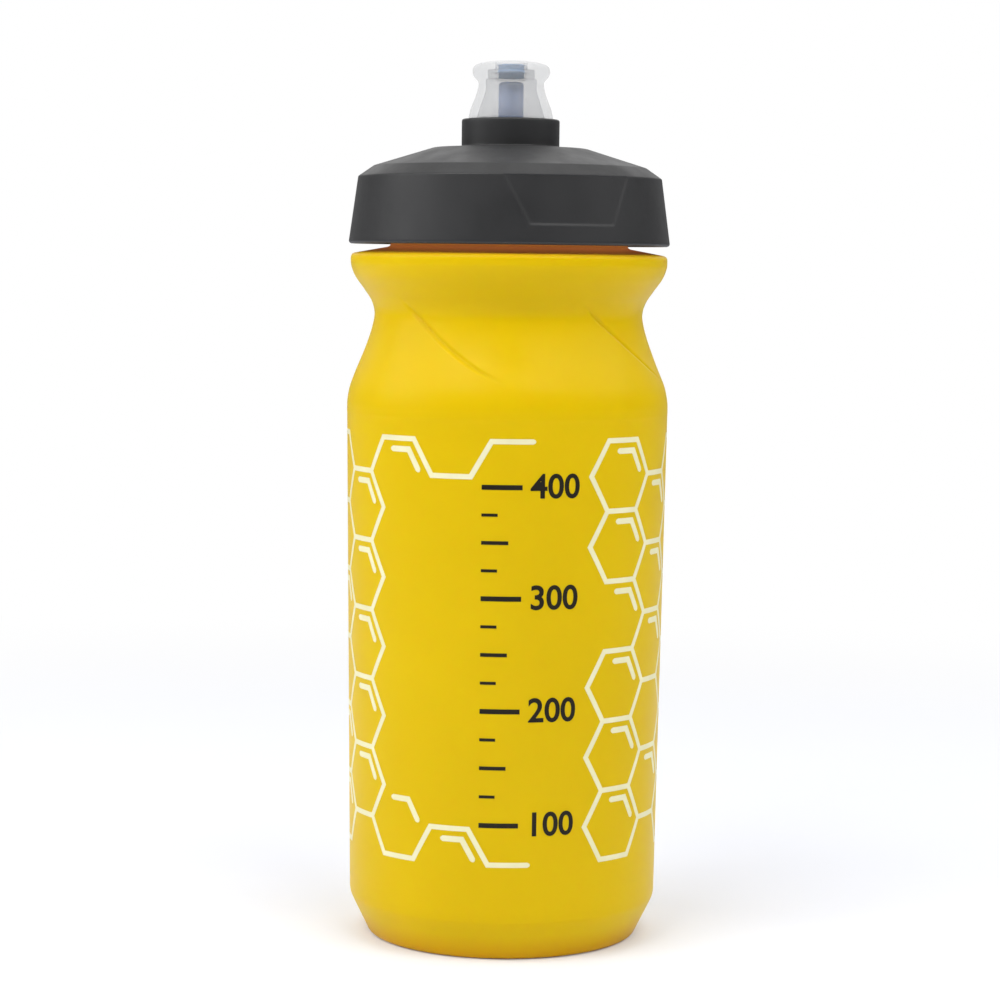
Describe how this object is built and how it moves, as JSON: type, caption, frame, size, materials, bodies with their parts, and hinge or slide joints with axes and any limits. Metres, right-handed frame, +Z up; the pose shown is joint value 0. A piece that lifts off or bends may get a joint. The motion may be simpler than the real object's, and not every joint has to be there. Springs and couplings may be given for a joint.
{
  "type": "water bottle",
  "caption": "Round squeeze bottle with a gripping waist, a screw cap and a push-pull drinking nozzle, sized for a bicycle bottle cage.",
  "frame": {"origin": "centre of the base ring, in the plane the bottle stands on", "axes": "+Z up along the bottle's axis, -Y towards the front (printed) side"},
  "size_m": [0.075, 0.075, 0.2041],
  "materials": {
    "bottle_plastic": "semi-gloss blow-moulded polyethylene, yellow",
    "cap_plastic": "fine-textured moulded polypropylene, dark grey",
    "gasket_rubber": "soft matte elastomer",
    "valve_plastic": "blue-grey moulded polypropylene",
    "sleeve_plastic": "natural translucent polypropylene",
    "grip_elastomer": "frosted translucent thermoplastic elastomer",
    "membrane_silicone": "pale blue silicone",
    "print_white": "thin screen-printed ink, off-white",
    "print_black": "thin screen-printed ink, black"
  },
  "bodies": {
    "bottle": {"bottle_body": "bottle_plastic"},
    "gasket": {"cap_gasket": "gasket_rubber"},
    "cap": {"screw_cap": "cap_plastic", "valve_stem": "valve_plastic", "nozzle_o_ring": "gasket_rubber"},
    "nozzle": {"nozzle_sleeve": "sleeve_plastic", "nozzle_grip": "grip_elastomer", "membrane_ring": "sleeve_plastic", "valve_membrane": "membrane_silicone"}
  },
  "joints": [
    {"name": "cap_lift", "type": "slide", "parent": "bottle", "child": "gasket", "axis": [0, 0, 1], "range_m": [0, 0.01805]},
    {"name": "cap_turn", "type": "hinge", "parent": "gasket", "child": "cap", "pos_m": [0, 0, 0.17], "axis": [0, 0, 1], "range_deg": [0, 1440]},
    {"name": "nozzle_pull", "type": "slide", "parent": "cap", "child": "nozzle", "axis": [0, 0, 1], "range_m": [0, 0.006]}
  ],
  "couplings": [
    {"joint": "cap_lift", "follows": "cap_turn", "m_per_rad": 0.0007162}
  ]
}
